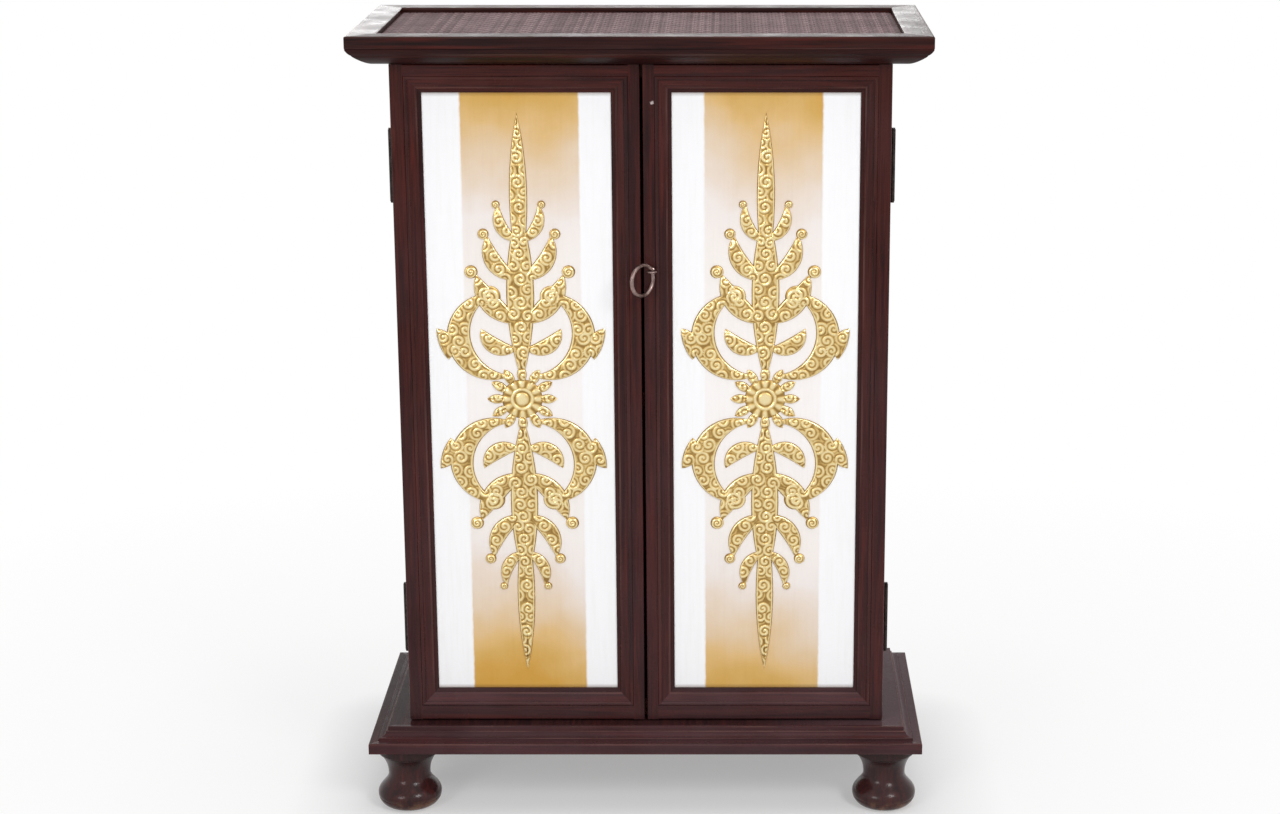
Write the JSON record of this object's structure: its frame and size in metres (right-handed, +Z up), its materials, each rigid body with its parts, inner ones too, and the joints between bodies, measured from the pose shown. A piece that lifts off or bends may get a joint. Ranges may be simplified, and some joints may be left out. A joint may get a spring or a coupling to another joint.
{
  "type": "two-door cabinet on bun feet",
  "caption": "Small upright cabinet: moulded top with woven inset, paired overlay doors with painted panels and gilt relief, ring pull, moulded plinth, turned bun feet.",
  "frame": {"origin": "on the floor, under the middle of the cabinet", "axes": "+X to the right as seen from the front, +Y to the back, +Z up; the doors face -Y"},
  "size_m": [0.604, 0.286, 0.8545],
  "materials": {
    "dark_wood": "dark maroon-brown lacquer, satin, grain showing",
    "inner_wood": "thin brown stain, matt",
    "woven_mat": "plain-woven flat strips, aged brown",
    "painted_panel": "white paint with a shaded ochre band down the middle",
    "gilding": "gold leaf over moulded relief",
    "dark_metal": "blackened",
    "pull_metal": "worn, dull bright on the edges",
    "steel": "zinc plated",
    "catch_plastic": "moulded brown"
  },
  "bodies": {
    "cabinet": {"top_front_rail": "dark_wood", "top_back_rail": "dark_wood", "top_left_rail": "dark_wood", "top_right_rail": "dark_wood", "left_side_panel": "dark_wood", "right_side_panel": "dark_wood", "plinth_front_rail": "dark_wood", "plinth_back_rail": "dark_wood", "plinth_left_rail": "dark_wood", "plinth_right_rail": "dark_wood", "plinth_front_moulding": "dark_wood", "plinth_back_moulding": "dark_wood", "plinth_left_moulding": "dark_wood", "plinth_right_moulding": "dark_wood", "front_left_foot": "dark_wood", "front_right_foot": "dark_wood", "back_left_foot": "dark_wood", "back_right_foot": "dark_wood", "top_panel": "inner_wood", "case_top_board": "inner_wood", "case_bottom_board": "inner_wood", "back_panel": "inner_wood", "shelf": "inner_wood", "woven_mat": "woven_mat", "shelf_pegs": "steel", "case_hardware_screws": "steel", "carcass_screws": "steel", "back_panel_screws": "steel", "left_magnetic_catch": "catch_plastic", "right_magnetic_catch": "catch_plastic", "left_hinge_case_leaves": "dark_metal", "right_hinge_case_leaves": "dark_metal", "left_hinge_pins": "dark_metal", "right_hinge_pins": "dark_metal"},
    "left_door": {"left_door_hinge_stile": "dark_wood", "left_door_meeting_stile": "dark_wood", "left_door_top_rail": "dark_wood", "left_door_bottom_rail": "dark_wood", "left_door_panel_moulding": "dark_wood", "left_door_panel": "painted_panel", "left_door_gilt_relief": "gilding", "left_hinge_door_leaves": "dark_metal", "left_door_screws": "steel", "left_strike_plate": "steel"},
    "right_door": {"right_door_hinge_stile": "dark_wood", "right_door_meeting_stile": "dark_wood", "right_door_top_rail": "dark_wood", "right_door_bottom_rail": "dark_wood", "right_door_panel_moulding": "dark_wood", "right_door_panel": "painted_panel", "right_door_gilt_relief": "gilding", "right_hinge_door_leaves": "dark_metal", "right_door_screws": "steel", "right_strike_plate": "steel", "pull_eye": "pull_metal"},
    "pull_ring": {"pull_ring": "pull_metal"}
  },
  "joints": [
    {"name": "left_door_swing", "type": "hinge", "parent": "cabinet", "child": "left_door", "pos_m": [-0.2628, -0.0865, 0.4605], "axis": [0, 0, -1], "range_deg": [0, 180]},
    {"name": "right_door_swing", "type": "hinge", "parent": "cabinet", "child": "right_door", "pos_m": [0.2628, -0.0865, 0.4605], "axis": [0, 0, 1], "range_deg": [0, 180]},
    {"name": "pull_ring_swing", "type": "hinge", "parent": "right_door", "child": "pull_ring", "pos_m": [0.01026, -0.1148, 0.605], "axis": [0, 0, 1], "range_deg": [-49, 131]}
  ]
}
